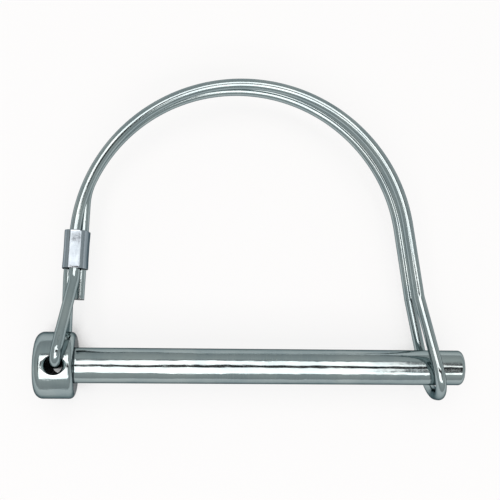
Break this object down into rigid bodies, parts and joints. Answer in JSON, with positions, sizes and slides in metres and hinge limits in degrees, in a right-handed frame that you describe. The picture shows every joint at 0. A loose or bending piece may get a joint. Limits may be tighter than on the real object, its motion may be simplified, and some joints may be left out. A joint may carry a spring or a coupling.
{
  "type": "wire lock hitch pin",
  "caption": "Round-headed hitch pin whose spring wire bail swings on the head, arches over and snaps round the tip.",
  "frame": {"origin": "the pin's axis, in the flat face under the head", "axes": "+X along the pin from the head to the tip, +Y from the pin towards the top of the closed bail, +Z along the bail's hinge axis"},
  "size_m": [0.0977, 0.0743, 0.0206],
  "materials": {
    "plated_pin": "bright zinc plate, smooth turned",
    "plated_wire": "bright zinc plate on drawn wire",
    "plated_sleeve": "bright zinc plate, pressed"
  },
  "bodies": {
    "shaft": {"pin": "plated_pin"},
    "bail": {"wire_bail": "plated_wire", "crimp_sleeve": "plated_sleeve"}
  },
  "joints": [
    {"name": "bail_swing", "type": "hinge", "parent": "shaft", "child": "bail", "pos_m": [-0.00372, 0.00045, 0], "axis": [0, 0, 1], "range_deg": [0, 255]}
  ]
}
